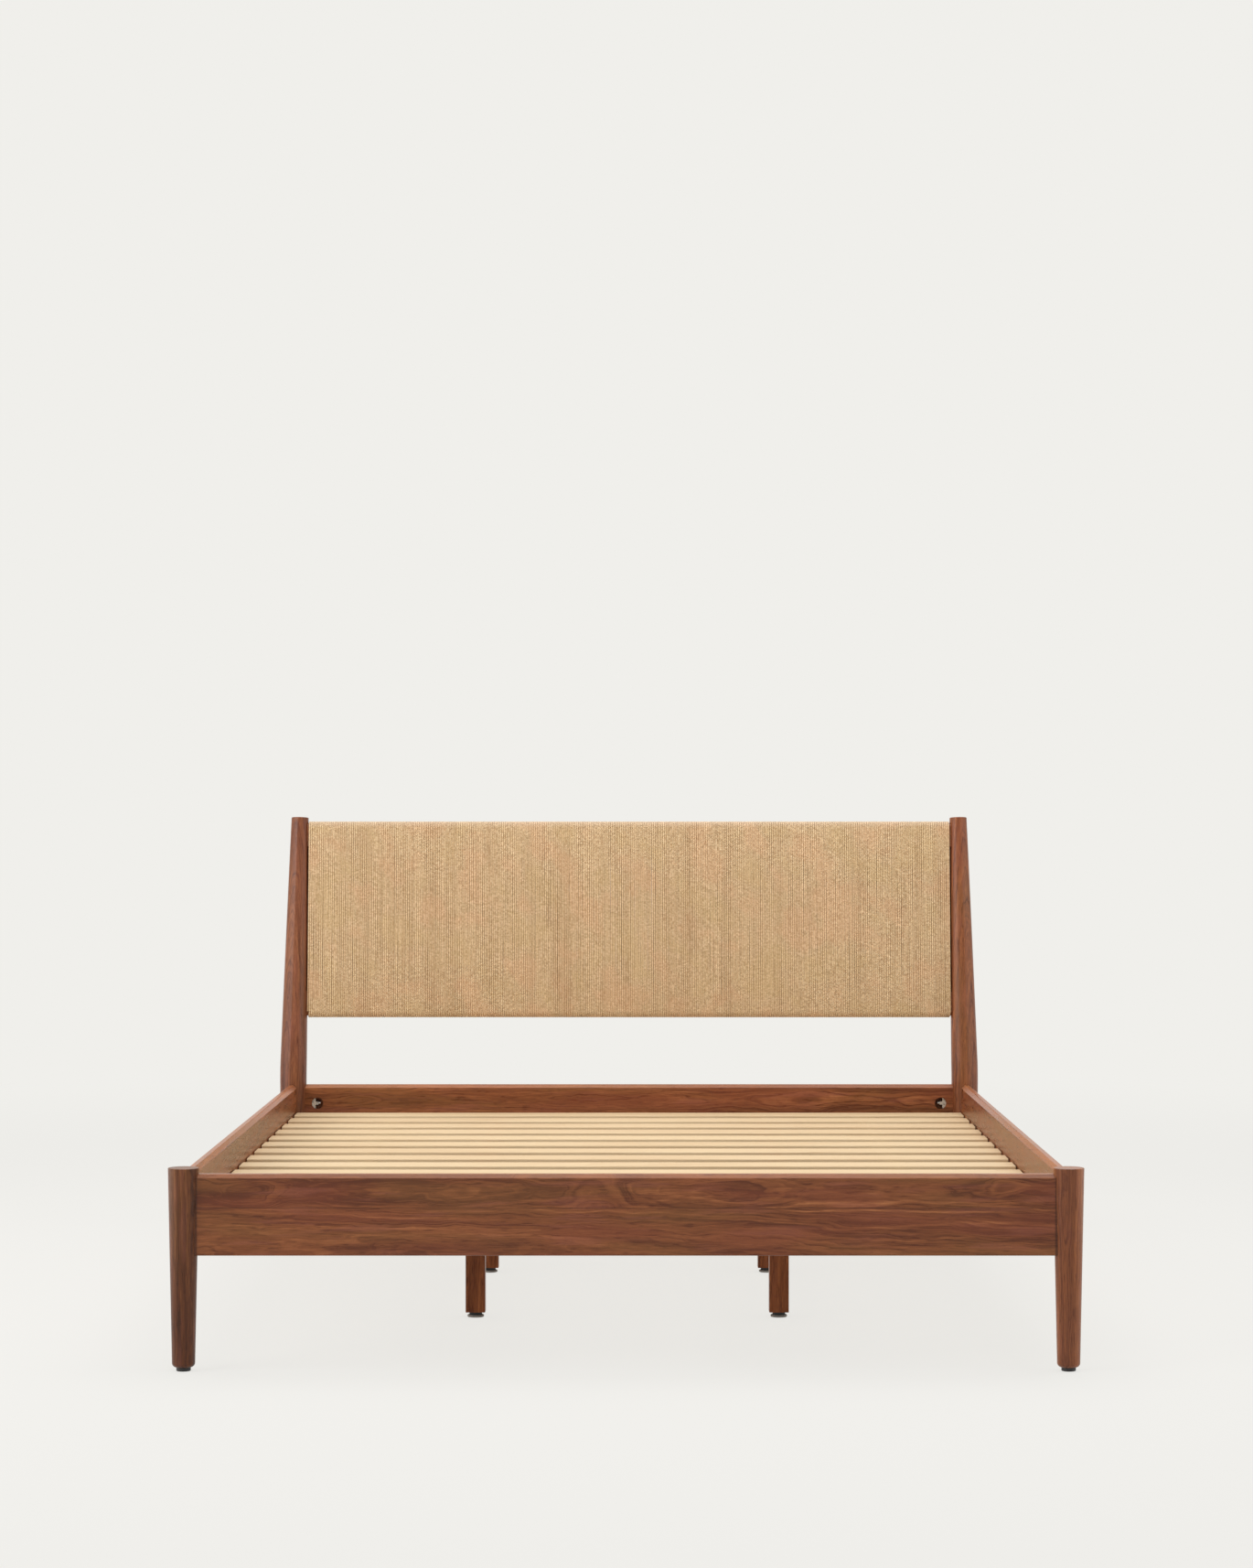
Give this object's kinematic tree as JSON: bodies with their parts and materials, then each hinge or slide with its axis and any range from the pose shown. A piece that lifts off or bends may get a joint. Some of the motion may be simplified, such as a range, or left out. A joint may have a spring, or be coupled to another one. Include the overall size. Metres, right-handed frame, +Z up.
{
  "type": "bed frame",
  "caption": "Double bed frame with turned tapered posts, boxed rails, slatted base on centre beams and legs, and a raked headboard wound with paper cord.",
  "frame": {"origin": "on the floor, under the middle of the frame's bounding box", "axes": "+Z up, +Y from the foot of the bed to its head, +X to the right as seen from the foot"},
  "size_m": [1.7046, 2.17, 1.0189],
  "materials": {
    "walnut": "matte oiled walnut",
    "pale_wood": "sanded softwood, unfinished",
    "paper_cord": "twisted natural paper cord",
    "webbing": "woven tape",
    "steel": "zinc plated",
    "black_plastic": "matte",
    "grey_pad": "matte"
  },
  "bodies": {
    "frame": {"foot_post_left": "walnut", "foot_post_right": "walnut", "head_post_left": "walnut", "head_post_right": "walnut", "foot_rail": "walnut", "side_rail_left": "walnut", "side_rail_right": "walnut", "head_rail": "walnut", "headboard_top_rail": "walnut", "headboard_bottom_rail": "walnut", "centre_beam_left": "walnut", "centre_beam_right": "walnut", "centre_leg_front_left": "walnut", "centre_leg_front_right": "walnut", "centre_leg_rear_left": "walnut", "centre_leg_rear_right": "walnut", "headboard_struts": "pale_wood", "slat_ledge_left": "pale_wood", "slat_ledge_right": "pale_wood", "locating_dowels": "pale_wood", "slat_1": "pale_wood", "slat_2": "pale_wood", "slat_3": "pale_wood", "slat_4": "pale_wood", "slat_5": "pale_wood", "slat_6": "pale_wood", "slat_7": "pale_wood", "slat_8": "pale_wood", "slat_9": "pale_wood", "slat_10": "pale_wood", "slat_11": "pale_wood", "slat_12": "pale_wood", "slat_13": "pale_wood", "slat_14": "pale_wood", "cord_panel": "paper_cord", "slat_strap_left": "webbing", "slat_strap_right": "webbing", "beam_brackets": "steel", "threaded_inserts": "steel", "bed_studs": "steel", "half_moon_washers": "steel", "stud_nuts": "steel", "leg_studs": "steel", "ledge_screws": "steel", "slat_screws": "steel", "bracket_screws": "steel", "foot_glide_left": "black_plastic", "foot_glide_right": "black_plastic", "head_glide_left": "black_plastic", "head_glide_right": "black_plastic"},
    "foot_front_left": {"levelling_pad_front_left": "grey_pad"},
    "screw_front_left": {"levelling_screw_front_left": "black_plastic"},
    "foot_front_right": {"levelling_pad_front_right": "grey_pad"},
    "screw_front_right": {"levelling_screw_front_right": "black_plastic"},
    "foot_rear_left": {"levelling_pad_rear_left": "grey_pad"},
    "screw_rear_left": {"levelling_screw_rear_left": "black_plastic"},
    "foot_rear_right": {"levelling_pad_rear_right": "grey_pad"},
    "screw_rear_right": {"levelling_screw_rear_right": "black_plastic"}
  },
  "joints": [
    {"name": "foot_slide_front_left", "type": "slide", "parent": "frame", "child": "foot_front_left", "axis": [0, 0, 1], "range_m": [-0.012, 0]},
    {"name": "screw_turn_front_left", "type": "hinge", "parent": "foot_front_left", "child": "screw_front_left", "pos_m": [-0.311, -0.369, 0], "axis": [0, 0, 1], "range_deg": [-3456, 0]},
    {"name": "foot_slide_front_right", "type": "slide", "parent": "frame", "child": "foot_front_right", "axis": [0, 0, 1], "range_m": [-0.012, 0]},
    {"name": "screw_turn_front_right", "type": "hinge", "parent": "foot_front_right", "child": "screw_front_right", "pos_m": [0.311, -0.369, 0], "axis": [0, 0, 1], "range_deg": [-3456, 0]},
    {"name": "foot_slide_rear_left", "type": "slide", "parent": "frame", "child": "foot_rear_left", "axis": [0, 0, 1], "range_m": [-0.012, 0]},
    {"name": "screw_turn_rear_left", "type": "hinge", "parent": "foot_rear_left", "child": "screw_rear_left", "pos_m": [-0.311, 0.318, 0], "axis": [0, 0, 1], "range_deg": [-3456, 0]},
    {"name": "foot_slide_rear_right", "type": "slide", "parent": "frame", "child": "foot_rear_right", "axis": [0, 0, 1], "range_m": [-0.012, 0]},
    {"name": "screw_turn_rear_right", "type": "hinge", "parent": "foot_rear_right", "child": "screw_rear_right", "pos_m": [0.311, 0.318, 0], "axis": [0, 0, 1], "range_deg": [-3456, 0]}
  ],
  "couplings": [
    {"joint": "foot_slide_front_left", "follows": "screw_turn_front_left", "m_per_rad": 0.00019894},
    {"joint": "foot_slide_front_right", "follows": "screw_turn_front_right", "m_per_rad": 0.00019894},
    {"joint": "foot_slide_rear_left", "follows": "screw_turn_rear_left", "m_per_rad": 0.00019894},
    {"joint": "foot_slide_rear_right", "follows": "screw_turn_rear_right", "m_per_rad": 0.00019894}
  ]
}
